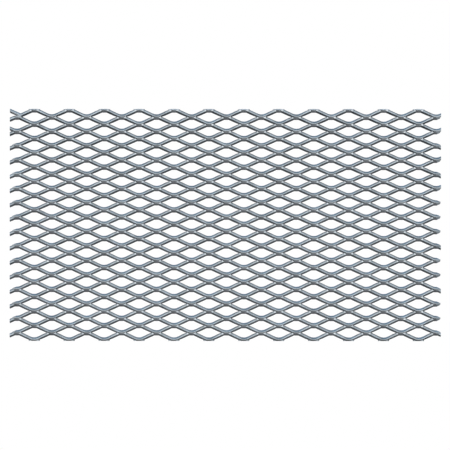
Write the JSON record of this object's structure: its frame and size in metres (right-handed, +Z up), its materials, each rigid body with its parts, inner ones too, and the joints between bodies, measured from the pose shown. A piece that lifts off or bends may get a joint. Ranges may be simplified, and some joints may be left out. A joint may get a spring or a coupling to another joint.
{
  "type": "expanded metal sheet",
  "caption": "Cut piece of raised expanded steel mesh: slit and stretched sheet with diamond openings and tilted strands, for guards, grilles and walkways.",
  "frame": {"origin": "centre of the sheet's outline, on the floor plane under its low edges", "axes": "+X along the long way of the diamonds, +Y along the short way towards the raised side of the strands, +Z up"},
  "size_m": [0.3756, 0.2024, 0.0065],
  "materials": {
    "steel": "plain mill-finish carbon steel, bluish bright on the sheared faces and darker on the rolled faces"
  },
  "bodies": {
    "root": {"expanded_sheet": "steel"}
  },
  "joints": []
}
